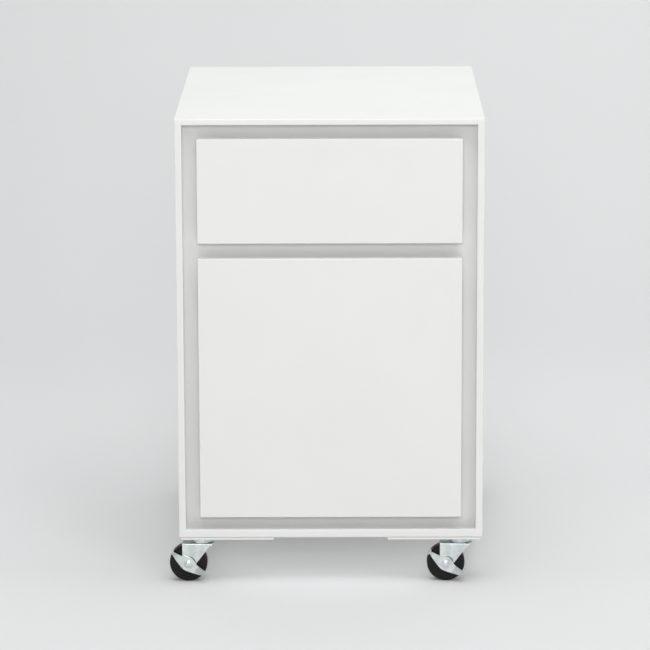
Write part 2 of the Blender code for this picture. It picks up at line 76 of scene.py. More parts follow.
# Sheet metal
SHEET = 0.0010
FACE_SHEET = 0.0012
SIDE_EDGE = 0.0092
TOP_EDGE = 0.0082
BOTTOM_EDGE = 0.0109
EDGE_RETURN = 0.006
BEND_RADIUS = 0.0015
BEND_OUTER = 0.0016
BEND_STEPS = 8
CORNER_RADIUS = 0.0006
SEAM = 0.0003
CUT_EDGE = 0.00025
PANEL_EDGE = 0.0005
RAIL_EDGE = 0.0010
FACE_RIM = 0.024

# Cutters reach past what they cut, and shapes that are joined run into each other
CUT_PAST = 0.01
CUT_MARGIN = 0.001
OVERLAP = 0.0004

# Fixings, slots and beads
FIXING_RADIUS = 0.0036
FIXING_RISE = 0.0018
SCREW_RIM_SHARE = 0.35
CROSS_REACH_SHARE = 0.52
CROSS_HALF_SHARE = 0.11
CROSS_FLOOR_SHARE = 0.45
BACK_SCREW_INSET = 0.012
FACE_SCREW_INSET = 0.018
SLIDE_SCREW_REACHES = (0.035, 0.190, 0.345)
SLOT_PITCH = 0.032
SLOT_HALF_WIDTH = 0.0022
SLOT_HALF_HEIGHT = 0.0080
SLOT_ROUND = SLOT_HALF_WIDTH * 0.6
BEAD_COUNT = 5
BEAD_HALF_WIDTH = 0.0035
BEAD_RISE = 0.0006
BEAD_ROUND = BEAD_RISE * 0.95
BEAD_SETBACK = 0.025

# Slide bearings: depths from the slide's mounting face, and gaps to the members' ends and middle
BALL_PITCH = 0.010
BALL_INSET = 0.0006
WALL_BALL_DEPTH = 0.0062
WALL_BALL_RADIUS = 0.00130
WALL_ROW_GAP = 0.02
DRAWER_BALL_DEPTH = 0.0076
DRAWER_BALL_RADIUS = 0.00140
DRAWER_ROW_START_GAP = 0.015
DRAWER_ROW_STOP_GAP = 0.03
CAGE_HALF = 0.0003
CAGE_ROUND = CAGE_HALF * 0.9
CAGE_REACH = 1.1
CAGE_END = 0.003

# Casters, as heights above the floor and distances from the swivel axis or the axle
TRAIL = 0.01815
WHEEL_RADIUS = 0.025
WHEEL_SIDE_RADIUS = 0.0215
WHEEL_HALF = 0.009
WHEEL_TREAD_HALF = 0.0055
HUB_RADIUS = 0.0085
HUB_RISE = 0.0013
HUB_BORE_GAP = 0.0002
HUB_CHAMFER = 0.0003
HUB_ROUND = 0.0006
TREAD_MIDDLE_HALF = 0.0004
AXLE_RADIUS = 0.0030
HEAD_RADIUS = 0.0054
HEAD_THICK = 0.0025
HEAD_RIM = 0.0007
WASHER_RADIUS = 0.0058
WASHER_THICK = 0.0006
NUT_THICK = 0.0021
NUT_CORNERS_CLEAR = HEAD_RADIUS * 1.1
NUT_CHAMFER_START = NUT_THICK * 0.7
NUT_FACE_RADIUS = HEAD_RADIUS * 0.86
PLATE_HIGH = 0.0599
PLATE_THICK = 0.0014
PLATE_HALF = (0.021, 0.015)
PLATE_CORNER = 0.003
PLATE_SCREW_RADIUS = 0.0026
PLATE_SCREW_RISE = 0.0016
PLATE_SCREW_INSET = 0.0038
PLATE_EDGE = 0.00018
PRESSED_EDGE = 0.00022
RACE_TOP_RADIUS = 0.0144
RACE_BOTTOM_RADIUS = 0.0138
RACE_ROUND = 0.0003
RACE_GROOVE_DEPTH = 0.0004
RACE_GROOVE_DROPS = (0.0012, 0.0016, 0.0019, 0.0022)
KING_PIN_RADIUS = 0.0040
KING_PIN_HEAD = 0.0060
KING_PIN_HEAD_THICK = 0.0022
KING_PIN_HEAD_RIM = 0.0006
CROWN_HIGH = 0.0530
FORK_SHEET = 0.0015
FORK_HALF_GAP = 0.0110
FORK_BEND = 0.0009
FORK_NOSE_RADIUS = 0.0226
FORK_NOSE_X = 0.0165
FORK_SLANT_X = 0.0275
FORK_SLANT_DROP = 0.0044
FORK_FLARE = (0.0016, 0.0014)
FORK_TOP_REACH = 0.0315
FORK_EYE_RADIUS = 0.0080
FORK_DROOP_START = 0.006
FORK_DROOP = 0.0012
FORK_CUT_ABOVE = 0.004
FORK_CUT_SIDEWAYS = 0.03
FORK_SIDE_CUT_THICK = 0.04
FORK_TOP_CUT_THICK = 0.12
KING_PIN_GAP = 0.0004
SPACER_RADIUS = 0.0101
SPACER_THICK = 0.0004
SPACER_GAP = 0.0001
BRAKE_SHEET = 0.0015
BRAKE_STANDOFF = 0.0006
BRAKE_SHOE_HALF = 0.004
BRAKE_SHOE_ROUND = 0.0005
BRAKE_SHOE_REACH = 0.0085
BRAKE_SHOE_CLEARANCE = 0.0010
BRAKE_SHOE_ANGLE = -55
BRAKE_AXIS = (0.86, -0.51)
BRAKE_TAB_START = 0.0125
BRAKE_TAB_SLOPE = 0.35
BRAKE_SHOE_START = 0.0150
BRAKE_SHOE_CURL = 20
BRAKE_SLICES = 14
BRAKE_SLICE_STEP = 0.0018
# Points round the lever, as (towards the fork's nose, up) from the axle
BRAKE_OUTLINE = [
    (-0.0231, 0.0156), (-0.0188, 0.0090), (-0.0143, 0.0024), (-0.0092, -0.0043),
    (-0.0046, -0.0082), (0.0062, -0.0124), (0.0172, -0.0145), (0.0238, -0.0130),
    (0.0243, -0.0106), (0.0153, -0.0047), (0.0107, -0.0008), (0.0090, 0.0028),
    (0.0056, 0.0071), (0.0016, 0.0095), (-0.0084, 0.0112), (-0.0190, 0.0158),
]

# Meshing
TURNED_STEPS = 48
WHEEL_STEPS = 96
SHARP_ANGLE = 38
SAME_POINT = 1e-7
SAME_POINT_IN_CAD = 1e-6
FLAT_ANGLE = 0.01

# Backdrop and light
SWEEP_WIDTH = 18.0
SWEEP_FRONT = -9.0
SWEEP_FOOT = 1.3
SWEEP_RADIUS = 2.2
WALL_HIGH = 6.0
WORLD_STRENGTH = 0.15
COOL = (0.95, 0.985, 1.0)
WARM = (1.0, 0.93, 0.87)
WHITE = (1, 1, 1)

# Lighter edges (a painted highlight on paint and metal, dust on the wheel): an edge counts in full where
# rounding it drops the normals' dot product by this much
EDGE_MASK_TURN = 0.12


# ---------------------------------------------------------------- building


def mesh_from(build, name):
    mesh = bpy.data.meshes.new(name)
    build.to_mesh(mesh)
    build.free()
    return mesh


def add_piece(name, mesh, material, sharp_angle=SHARP_ANGLE):
    piece = bpy.data.objects.new(name, mesh)
    bpy.context.scene.collection.objects.link(piece)
    mesh.materials.clear()
    mesh.materials.append(material)
    mesh.shade_smooth()
    mesh.set_sharp_from_angle(angle=math.radians(sharp_angle))
    return piece


def round_edges(piece, width, segments=2):
    bevel = piece.modifiers.new("Edges", "BEVEL")
    bevel.width = width
    bevel.segments = segments
    bevel.limit_method = "ANGLE"
    bevel.angle_limit = math.radians(SHARP_ANGLE)
    bevel.harden_normals = True
    return piece


def settle(piece, body, slot, *nodes):
    """Gives the piece its body and hides the CAD nodes it stands for; the slot argument is not used."""
    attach(piece, body)
    if nodes:
        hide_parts(*nodes)
    return piece


def body_of(node):
    return frame["nodes"][node]["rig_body"]


def evaluated_mesh(obj):
    """The object's mesh with its modifiers applied."""
    graph = bpy.context.evaluated_depsgraph_get()
    return bpy.data.meshes.new_from_object(obj.evaluated_get(graph))


def carved(mesh, *steps):
    """The mesh after Boolean steps, each an (operation, tool mesh) pair."""
    work = bpy.data.objects.new("work", mesh)
    bpy.context.scene.collection.objects.link(work)
    tools = []
    for operation, tool_mesh in steps:
        tool = bpy.data.objects.new("tool", tool_mesh)
        bpy.context.scene.collection.objects.link(tool)
        boolean = work.modifiers.new(operation, "BOOLEAN")
        boolean.operation = operation
        boolean.solver = "EXACT"
        boolean.object = tool
        tools.append(tool)
    bpy.context.view_layer.update()
    result = evaluated_mesh(work)
    for obj in (work, *tools):
        bpy.data.objects.remove(obj)
    return result


def box_mesh(low, high):
    low, high = Vector(low), Vector(high)
    build = bmesh.new()
    sizes = Matrix.Diagonal((high - low).to_4d())
    bmesh.ops.create_cube(build, size=1, matrix=Matrix.Translation((low + high) / 2) @ sizes)
    return mesh_from(build, "box")


def rounded_box_mesh(low, high, radius, segments=3):
    build = bmesh.new()
    build.from_mesh(box_mesh(low, high))
    bmesh.ops.bevel(
        build, geom=build.edges[:], offset=radius, segments=segments, profile=0.5, affect="EDGES"
    )
    return mesh_from(build, "box")


def rod_mesh(radius, start, end, sides=TURNED_STEPS):
    start, end = Vector(start), Vector(end)
    run = end - start
    turn = run.to_track_quat("Z", "Y").to_matrix().to_4x4()
    build = bmesh.new()
    bmesh.ops.create_cone(
        build, cap_ends=True, segments=sides, radius1=radius, radius2=radius, depth=run.length,
        matrix=Matrix.Translation((start + end) / 2) @ turn,
    )
    return mesh_from(build, "rod")


def turned_mesh(profile, steps=TURNED_STEPS, closed=False):
    """A solid turned about Z from (radius, height) points, top to bottom down its outer side."""
    build = bmesh.new()
    verts = [build.verts.new((radius, 0, height)) for radius, height in profile]
    pairs = list(zip(verts, verts[1:]))
    if closed:
        pairs.append((verts[-1], verts[0]))
    edges = [build.edges.new(pair) for pair in pairs]
    bmesh.ops.spin(
        build, geom=verts + edges, axis=(0, 0, 1), cent=(0, 0, 0),
        angle=math.tau, steps=steps, use_merge=True,
    )
    bmesh.ops.remove_doubles(build, verts=build.verts, dist=SAME_POINT)
    bmesh.ops.recalc_face_normals(build, faces=build.faces)
    return mesh_from(build, "turned")


def joined_mesh(meshes):
    build = bmesh.new()
    for mesh in meshes:
        build.from_mesh(mesh)
    return mesh_from(build, "joined")


def moved(mesh, matrix):
    """A copy of the mesh, placed by the matrix."""
    copy = mesh.copy()
    copy.transform(matrix)
    return copy


def filleted(outline, radius, steps=BEND_STEPS):
    """The open outline with each inner corner replaced by a round bend."""
    points = [Vector(point) for point in outline]
    rounded = [points[0]]
    for before, corner, after in zip(points, points[1:], points[2:]):
        back, ahead = (before - corner).normalized(), (after - corner).normalized()
        half = back.angle(ahead) / 2
        centre = corner + (back + ahead).normalized() * radius / math.sin(half)
        first = corner + back * radius / math.tan(half) - centre
        last = corner + ahead * radius / math.tan(half) - centre
        turn = first.angle_signed(last)
        for step in range(steps + 1):
            rounded.append(centre + Matrix.Rotation(-turn * step / steps, 2) @ first)
    rounded.append(points[-1])
    return rounded


def merge_flat_faces(build):
    """Joins points that coincide, and then faces that lie in one plane."""
    bmesh.ops.remove_doubles(build, verts=build.verts, dist=SAME_POINT_IN_CAD)
    bmesh.ops.dissolve_limit(build, angle_limit=FLAT_ANGLE, verts=build.verts, edges=build.edges)


def folded_mesh(outline, start, end, thickness):
    """Sheet metal whose middle surface follows a (y, z) outline, from start to end along X."""
    build = bmesh.new()
    verts = [build.verts.new((start, y, z)) for y, z in outline]
    edges = [build.edges.new(pair) for pair in zip(verts, verts[1:])]
    grown = bmesh.ops.extrude_edge_only(build, edges=edges)
    far_verts = [item for item in grown["geom"] if isinstance(item, bmesh.types.BMVert)]
    bmesh.ops.translate(build, verts=far_verts, vec=(end - start, 0, 0))
    sheet = bpy.data.objects.new("folded", mesh_from(build, "folded"))
    bpy.context.scene.collection.objects.link(sheet)
    solidify = sheet.modifiers.new("Thickness", "SOLIDIFY")
    solidify.thickness = thickness
    solidify.offset = 0
    solidify.use_even_offset = True
    bpy.context.view_layer.update()
    mesh = evaluated_mesh(sheet)
    bpy.data.objects.remove(sheet)
    return mesh


def plate_mesh(outline, thickness, placing):
    """A flat plate of a closed outline, centred on its own plane and then placed by a matrix."""
    curve = bpy.data.curves.new("plate", "CURVE")
    curve.dimensions = "2D"
    curve.fill_mode = "BOTH"
    curve.extrude = thickness / 2
    spline = curve.splines.new("POLY")
    spline.points.add(len(outline) - 1)
    for point, (a, b) in zip(spline.points, outline):
        point.co = (a, b, 0, 1)
    spline.use_cyclic_u = True
    holder = bpy.data.objects.new("plate", curve)
    bpy.context.scene.collection.objects.link(holder)
    bpy.context.view_layer.update()
    mesh = evaluated_mesh(holder)
    bpy.data.objects.remove(holder)
    build = bmesh.new()
    build.from_mesh(mesh)
    merge_flat_faces(build)
    bmesh.ops.recalc_face_normals(build, faces=build.faces)
    bmesh.ops.transform(build, matrix=placing, verts=build.verts)
    build.to_mesh(mesh)
    build.free()
    return mesh


def arc(centre, radius, start, end, steps):
    """Points round an arc, with the angles in degrees."""
    for step in range(steps + 1):
        angle = math.radians(start + (end - start) * step / steps)
        yield centre[0] + radius * math.cos(angle), centre[1] + radius * math.sin(angle)


def smooth_loop(points, steps=8):
    """A closed Catmull-Rom curve through the points."""
    loop = [Vector(point) for point in points]
    count = len(loop)
    for index in range(count):
        before, start, end, after = (loop[(index + shift) % count] for shift in (-1, 0, 1, 2))
        for step in range(steps):
            t = step / steps
            yield 0.5 * (
                2 * start
                + (end - before) * t
                + (2 * before - 5 * start + 4 * end - after) * t**2
                + (3 * start - before - 3 * end + after) * t**3
            )


def flattened_mesh(node):
    """The node's own shape, with its triangles merged into flat faces."""
    build = bmesh.new()
    build.from_mesh(frame["nodes"][node].data)
    merge_flat_faces(build)
    return mesh_from(build, node)


def finished_copy(node, material, slot, edge=CUT_EDGE):
    """The node's own shape, with its cut edges broken unless edge is 0."""
    piece = add_piece(f"{node}_finished", flattened_mesh(node), material)
    if edge:
        round_edges(piece, edge)
    return settle(piece, body_of(node), slot, node)


# --------------------------------------------------------------- materials


class Shading:
    """A Principled material under construction, with short names for the nodes it uses."""

    def __init__(self, name, roughness, metallic=0.0):
        self.material = bpy.data.materials.new(name)
        self.material.use_nodes = True
        self.tree = self.material.node_tree
        self.shader = self.tree.nodes["Principled BSDF"]
        self.shader.inputs["Roughness"].default_value = roughness
        self.shader.inputs["Metallic"].default_value = metallic
        self.place = self.tree.nodes.new("ShaderNodeTexCoord").outputs["Object"]

    def stretched(self, scale):
        node = self.tree.nodes.new("ShaderNodeMapping")
        node.inputs["Scale"].default_value = scale
        self.tree.links.new(self.place, node.inputs["Vector"])
        return node.outputs["Vector"]

    def noise(self, scale, detail=2.0, vector=None):
        node = self.tree.nodes.new("ShaderNodeTexNoise")
        node.inputs["Scale"].default_value = scale
        node.inputs["Detail"].default_value = detail
        self.tree.links.new(vector or self.place, node.inputs["Vector"])
        return node.outputs["Fac"]

    def ranged(self, value, low, high, start=0.35, end=0.65):
        node = self.tree.nodes.new("ShaderNodeMapRange")
        node.inputs["From Min"].default_value = start
        node.inputs["From Max"].default_value = end
        node.inputs["To Min"].default_value = low
        node.inputs["To Max"].default_value = high
        self.tree.links.new(value, node.inputs["Value"])
        return node.outputs["Result"]

    def mixed(self, value, first, second):
        node = self.tree.nodes.new("ShaderNodeMix")
        node.data_type = "RGBA"
        self.tree.links.new(value, node.inputs["Factor"])
        for socket, colour in ((node.inputs[6], first), (node.inputs[7], second)):
            if isinstance(colour, tuple):
                socket.default_value = (*colour, 1.0)
            else:
                self.tree.links.new(colour, socket)
        return node.outputs[2]

    def colour(self, value):
        self.tree.links.new(value, self.shader.inputs["Base Color"])

    def roughness(self, value):
        self.tree.links.new(value, self.shader.inputs["Roughness"])

    def bump(self, height, strength, distance):
        node = self.tree.nodes.new("ShaderNodeBump")
        node.inputs["Strength"].default_value = strength
        node.inputs["Distance"].default_value = distance
        self.tree.links.new(height, node.inputs["Height"])
        before = self.shader.inputs["Normal"].links
        if before:
            self.tree.links.new(before[0].from_socket, node.inputs["Normal"])
        self.tree.links.new(node.outputs["Normal"], self.shader.inputs["Normal"])

    def see_through_from_behind(self):
        """Makes the backdrop clear on its back, so that it doesn't hide the object from behind or below."""
        side = self.tree.nodes.new("ShaderNodeNewGeometry").outputs["Backfacing"]
        clear = self.tree.nodes.new("ShaderNodeBsdfTransparent").outputs[0]
        either = self.tree.nodes.new("ShaderNodeMixShader")
        self.tree.links.new(side, either.inputs[0])
        self.tree.links.new(self.shader.outputs[0], either.inputs[1])
        self.tree.links.new(clear, either.inputs[2])
        output = self.tree.nodes["Material Output"]
        self.tree.links.new(either.outputs[0], output.inputs["Surface"])

    def near_edges(self, radius):
        """1 on an edge, fading to 0 a radius away from it."""
        rounded = self.tree.nodes.new("ShaderNodeBevel")
        rounded.samples = 4
        rounded.inputs["Radius"].default_value = radius
        flat = self.tree.nodes.new("ShaderNodeNewGeometry").outputs["Normal"]
        likeness = self.tree.nodes.new("ShaderNodeVectorMath")
        likeness.operation = "DOT_PRODUCT"
        self.tree.links.new(rounded.outputs["Normal"], likeness.inputs[0])
        self.tree.links.new(flat, likeness.inputs[1])
        return self.ranged(likeness.outputs["Value"], 1, 0, 1 - EDGE_MASK_TURN, 1)

    def edge_highlight_and_dust(self, tone, colour, radius, gain=1.0):
        """The tone, turning to the colour times the gain within a radius of the edges: a painted highlight
        on paint and metal, edge dust on the wheel.
        """
        edge_tone = tuple(channel * gain for channel in colour)
        return self.mixed(self.near_edges(radius), tone, edge_tone)


def powder_coat(name, light, shade):
    """Satin powder coat: fine orange peel, faintly uneven tone and gloss, and edges painted lighter as a
    painted highlight.
    """
    paint = Shading(name, 0.5)
    tone = paint.mixed(paint.ranged(paint.noise(7, 3), 0, 1), light, shade)
    paint.colour(paint.edge_highlight_and_dust(tone, light, radius=0.0010, gain=1.03))
    paint.roughness(paint.ranged(paint.noise(38, 4), 0.46, 0.56))
    paint.bump(paint.noise(850, 2), 0.10, 0.0003)
    paint.bump(paint.noise(140, 2), 0.04, 0.0004)
    return paint.material


def zinc_plating(name, light, shade, low=0.34, high=0.48):
    """Zinc plate: cloudy tone, fine drawn scratches, small pits, and edges painted brighter as a painted
    highlight.
    """
    zinc = Shading(name, 0.32, metallic=1.0)
    tone = zinc.mixed(zinc.ranged(zinc.noise(110, 5), 0, 1), light, shade)
    zinc.colour(zinc.edge_highlight_and_dust(tone, light, radius=0.0005, gain=1.08))
    zinc.roughness(zinc.ranged(zinc.noise(260, 4), low, high))
    scratches = zinc.noise(60, 3, zinc.stretched((4, 4, 60)))
    zinc.bump(scratches, 0.05, 0.0002)
    zinc.bump(zinc.noise(1400, 2), 0.08, 0.0001)
    return zinc.material


def slide_steel(name, light, shade):
    """Roll-formed steel with long streaks along the slide, and edges painted brighter as a painted
    highlight.
    """
    steel = Shading(name, 0.34, metallic=1.0)
    streaks = steel.noise(90, 4, steel.stretched((12, 0.6, 12)))
    tone = steel.mixed(steel.ranged(streaks, 0, 1), light, shade)
    steel.colour(steel.edge_highlight_and_dust(tone, light, radius=0.0006, gain=1.12))
    steel.roughness(steel.ranged(steel.noise(200, 3), 0.28, 0.42))
    steel.bump(streaks, 0.06, 0.0002)
    return steel.material


def black_wheel(name, black, dust):
    """Hard black wheel with a faint moulded grain, and dust in specks and on its edges."""
    wheel = Shading(name, 0.45)
    wheel.shader.inputs["Specular IOR Level"].default_value = 0.22
    specks = wheel.ranged(wheel.noise(420, 5), 0, 1, 0.52, 0.75)
    tone = wheel.mixed(specks, black, dust)
    wheel.colour(wheel.edge_highlight_and_dust(tone, dust, radius=0.0008))
    wheel.roughness(wheel.ranged(wheel.noise(90, 3), 0.36, 0.55))
    wheel.bump(wheel.noise(1600, 2), 0.12, 0.0001)
    return wheel.material


white = powder_coat("white_powder_coat", (0.822, 0.822, 0.803), (0.808, 0.808, 0.789))
# The recessed frame gets the case's white painted lighter: painted light that lifts the shade in the deep
# gaps round the drawer faces.
frame_white_painted_lighter = powder_coat("frame_powder_coat_painted_lighter", (0.890, 0.892, 0.882), (0.876, 0.878, 0.868))
zinc = zinc_plating("bright_zinc", (0.80, 0.84, 0.84), (0.62, 0.68, 0.68))
screw_zinc = zinc_plating("screw_zinc", (0.74, 0.76, 0.76), (0.55, 0.58, 0.58), 0.2, 0.34)
# Near-black steel for the brake spacers: painted shade for the shadow line round each lever's hub.
spacer_steel_painted_dark = zinc_plating("spring_steel_painted_dark", (0.16, 0.19, 0.20), (0.10, 0.12, 0.13))
steel = slide_steel("slide_steel", (0.70, 0.72, 0.73), (0.55, 0.57, 0.58))
rubber = black_wheel("black_wheel", (0.009, 0.0075, 0.0075), (0.016, 0.0145, 0.014))


# -------------------------------------------------------------------- case


def lip_profile(back_y, front_y):
    """A panel's closed section as (measured from, inset, y): the skin, the front face and the return."""
    outer, inner = BEND_OUTER, BEND_OUTER - SHEET
    turn_y = front_y + BEND_OUTER
    section = [("skin", 0.0, back_y)]
    section += [("skin", outer + a, turn_y + b) for a, b in arc((0, 0), outer, 180, 270, BEND_STEPS)]
    section += [("mouth", outer - a, turn_y + b) for a, b in arc((0, 0), outer, 270, 360, BEND_STEPS)]
    section += [("mouth", 0.0, front_y + EDGE_RETURN), ("mouth", SHEET, front_y + EDGE_RETURN)]
    section += [("mouth", outer - a, turn_y + b) for a, b in arc((0, 0), inner, 360, 270, BEND_STEPS)]
    section += [("skin", outer + a, turn_y + b) for a, b in arc((0, 0), inner, 270, 180, BEND_STEPS)]
    return section + [("skin", SHEET, back_y)]


def panel_mesh(section, ends, edges):
    """One panel's section swept between two corners of the case, meeting its neighbours on the mitre."""
    build = bmesh.new()
    loops = []
    for side_x, level, rises, angles in ends:
        for angle in angles:
            loop = []
            for origin, inset, y in section:
                inset_x, inset_z = (
                    inset if origin == "skin" else edges[key] - inset for key in ("side", rises)
                )
                turn = max(CORNER_RADIUS - min(inset_x, inset_z), 0)
                across = max(inset_x, CORNER_RADIUS) - turn * math.cos(math.radians(angle))
                down = max(inset_z, CORNER_RADIUS) - turn * math.sin(math.radians(angle))
                x = side_x - math.copysign(across, side_x)
                z = level - down if rises == "top" else level + down
                loop.append(build.verts.new((x, y, z)))
            loops.append(loop)
    for first, second in zip(loops, loops[1:]):
        for index in range(len(section)):
            after = (index + 1) % len(section)
            build.faces.new((first[index], first[after], second[after], second[index]))
    build.faces.new(loops[0])
    build.faces.new(loops[-1])
    bmesh.ops.remove_doubles(build, verts=build.verts, dist=SAME_POINT)
    bmesh.ops.recalc_face_normals(build, faces=build.faces)
    return mesh_from(build, "panel")


def case_panels():
    """Sides, top and bottom, welded at the corners with no seam to be seen."""
    edges = {"side": SIDE_EDGE, "top": TOP_EDGE, "bottom": BOTTOM_EDGE}
    top_low, top_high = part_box("top_panel")
    low_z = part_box("bottom_panel")[0].z
    side_x, high_z = top_high.x, top_high.z
    section = lip_profile(top_high.y, top_low.y)
    flat, upright = (90, 67.5, 45), (45, 22.5, 0)
    panels = {
        "top": [(-side_x, high_z, "top", flat[::-1]), (side_x, high_z, "top", flat)],
        "bottom": [(-side_x, low_z, "bottom", flat[::-1]), (side_x, low_z, "bottom", flat)],
        "left_side": [(-side_x, low_z, "bottom", upright), (-side_x, high_z, "top", upright[::-1])],
        "right_side": [(side_x, low_z, "bottom", upright), (side_x, high_z, "top", upright[::-1])],
    }
    for name, ends in panels.items():
        piece = add_piece(f"{name}_sheet", panel_mesh(section, ends, edges), white, sharp_angle=30)
        settle(piece, "case", "white_powder_coat", f"{name}_panel")


def front_frame():
    """The recessed frame: notched stiles, and rails that run up to them and are welded flush."""
    # The frame's coat is painted lighter than the case's: painted light in the shaded recess.
    for side in ("left", "right"):
        finished_copy(f"frame_{side}_stile", frame_white_painted_lighter, "white_powder_coat", edge=0)
    stile_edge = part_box("frame_right_stile")[0].x
    for name in ("top", "middle", "bottom"):
        node = f"frame_{name}_rail"
        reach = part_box(node)[1].x
        mesh = frame["nodes"][node].data.copy()
        mesh.transform(Matrix.Diagonal((stile_edge / reach, 1, 1, 1)))
        piece = add_piece(f"{node}_welded", mesh, frame_white_painted_lighter)
        settle(piece, "case", "white_powder_coat", node)


def pan_screws(name, body, spots, outward):
    """Cross-recessed pan heads standing on a surface at the spots, facing along the outward direction."""
    turn = Vector(outward).to_track_quat("Z", "Y").to_matrix().to_4x4()
    head = screw_mesh(FIXING_RADIUS, FIXING_RISE)
    heads = [moved(head, Matrix.Translation(spot) @ turn) for spot in spots]
    settle(add_piece(name, joined_mesh(heads), screw_zinc), body, "zinc_plate")


def back_fixings():
    """Screws round the edge of the back panel."""
    low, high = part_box("back_panel")
    middle_z = (low.z + high.z) / 2
    edge_x = high.x - BACK_SCREW_INSET
    levels = (low.z + BACK_SCREW_INSET, middle_z, high.z - BACK_SCREW_INSET)
    spots = [(x, high.y, z) for x in (-edge_x, edge_x) for z in levels]
    spots += [(0, high.y, z) for z in (levels[0], levels[2])]
    pan_screws("back_panel_screws", "case", spots, (0, 1, 0))


def uprights():
    """Posts pierced with a column of hook slots."""
    for place in ("front", "rear"):
        for side in ("left", "right"):
            node = f"{place}_{side}_upright"
            low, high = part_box(node)
            y = (low.y + high.y) / 2
            z = low.z + SLOT_PITCH
            slots = []
            while z < high.z - SLOT_PITCH / 2:
                slot_low = (low.x - CUT_PAST, y - SLOT_HALF_WIDTH, z - SLOT_HALF_HEIGHT)
                slot_high = (high.x + CUT_PAST, y + SLOT_HALF_WIDTH, z + SLOT_HALF_HEIGHT)
                slots.append(rounded_box_mesh(slot_low, slot_high, SLOT_ROUND, 2))
                z += SLOT_PITCH
            mesh = carved(flattened_mesh(node), ("DIFFERENCE", joined_mesh(slots)))
            piece = round_edges(add_piece(f"{node}_slotted", mesh, steel), CUT_EDGE)
            settle(piece, body_of(node), "slide_steel", node)


def ball_row(name, body, x, z, start, stop, radius):
    """Steel balls in a pressed cage that runs along the slide."""
    ball = bmesh.new()
    bmesh.ops.create_icosphere(ball, subdivisions=2, radius=radius)
    ball = mesh_from(ball, "ball")
    count = int((stop - start) / BALL_PITCH)
    spots = [(x, start + BALL_PITCH * (index + 0.5), z) for index in range(count)]
    balls = joined_mesh([moved(ball, Matrix.Translation(spot)) for spot in spots])
    settle(add_piece(f"{name}_balls", balls, screw_zinc, sharp_angle=180), body, "slide_steel")
    half_width = radius * CAGE_REACH
    cage_low = (x - half_width, start - CAGE_END, z - CAGE_HALF)
    cage_high = (x + half_width, stop + CAGE_END, z + CAGE_HALF)
    cage = rounded_box_mesh(cage_low, cage_high, CAGE_ROUND, 2)
    settle(add_piece(f"{name}_cage", cage, steel), body, "slide_steel")


def slide_bearings(drawer, side, sign):
    """Ball rows on the middle member: rear ones that run in the fixed member, front ones in the drawer's."""
    middle = f"{drawer}_{side}_slide_middle"
    outer_low, outer_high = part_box(f"{drawer}_{side}_slide_outer")
    middle_low, middle_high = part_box(middle)
    inner_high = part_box(f"{drawer}_{side}_slide_inner")[1]
    centre = (middle_low.z + middle_high.z) / 2
    mount_x = max(abs(outer_low.x), abs(outer_high.x))
    start, stop = middle_low.y, middle_high.y
    half = (start + stop) / 2
    wall_span = (half + WALL_ROW_GAP, stop - WALL_ROW_GAP)
    drawer_span = (start + DRAWER_ROW_START_GAP, half - DRAWER_ROW_STOP_GAP)
    rows = (
        ("wall", WALL_BALL_DEPTH, WALL_BALL_RADIUS, outer_high.z, wall_span),
        ("drawer", DRAWER_BALL_DEPTH, DRAWER_BALL_RADIUS, inner_high.z, drawer_span),
    )
    for row, depth, radius, facing_z, (row_start, row_stop) in rows:
        x = mount_x - depth
        z = (facing_z + middle_high.z) / 2 - BALL_INSET
        for edge, level in (("top", z), ("bottom", 2 * centre - z)):
            name = f"{drawer}_{side}_{row}_{edge}"
            ball_row(name, body_of(middle), sign * x, level, row_start, row_stop, radius)


def drawer_face(drawer):
    """A hollow pan with round edges, open at the back inside a rim."""
    node = f"{drawer}_drawer_face"
    low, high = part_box(node)
    sheet = Vector((FACE_SHEET, FACE_SHEET, FACE_SHEET))
    rim = Vector((FACE_RIM, 0, FACE_RIM))
    hollow = box_mesh(low + sheet, high - sheet)
    to_back = Vector((0, high.y - low.y - 2 * FACE_SHEET, 0))
    past_back = Vector((0, CUT_PAST, 0))
    window = box_mesh(low + rim + to_back, high - rim + past_back)
    outside = rounded_box_mesh(low, high, BEND_RADIUS, 6)
    mesh = carved(outside, ("DIFFERENCE", hollow), ("DIFFERENCE", window))
    piece = add_piece(f"{node}_pan", mesh, white, sharp_angle=30)
    weighted = piece.modifiers.new("Flat faces", "WEIGHTED_NORMAL")
    weighted.keep_sharp = True
    settle(piece, body_of(node), "white_powder_coat", node)


def drawer_fixings(drawer):
    """Screws that hold the face to the inner front, and the slides to the drawer's sides."""
    body = body_of(f"{drawer}_drawer_face")
    low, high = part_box(f"{drawer}_drawer_inner_front")
    levels = (low.z + FACE_SCREW_INSET, high.z - FACE_SCREW_INSET)
    columns = (low.x + FACE_SCREW_INSET * 2, high.x - FACE_SCREW_INSET * 2)
    spots = [(x, high.y, z) for x in columns for z in levels]
    pan_screws(f"{drawer}_face_screws", body, spots, (0, 1, 0))
    for side, sign in (("left", -1), ("right", 1)):
        slide_low, slide_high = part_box(f"{drawer}_{side}_slide_inner")
        wall_low, wall_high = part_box(f"{drawer}_drawer_{side}_side")
        wall_x = sign * (max(abs(wall_low.x), abs(wall_high.x)) - SHEET)
        z = (slide_low.z + slide_high.z) / 2
        spots = [(wall_x, slide_low.y + reach, z) for reach in SLIDE_SCREW_REACHES]
        pan_screws(f"{drawer}_{side}_slide_screws", body, spots, (-sign, 0, 0))


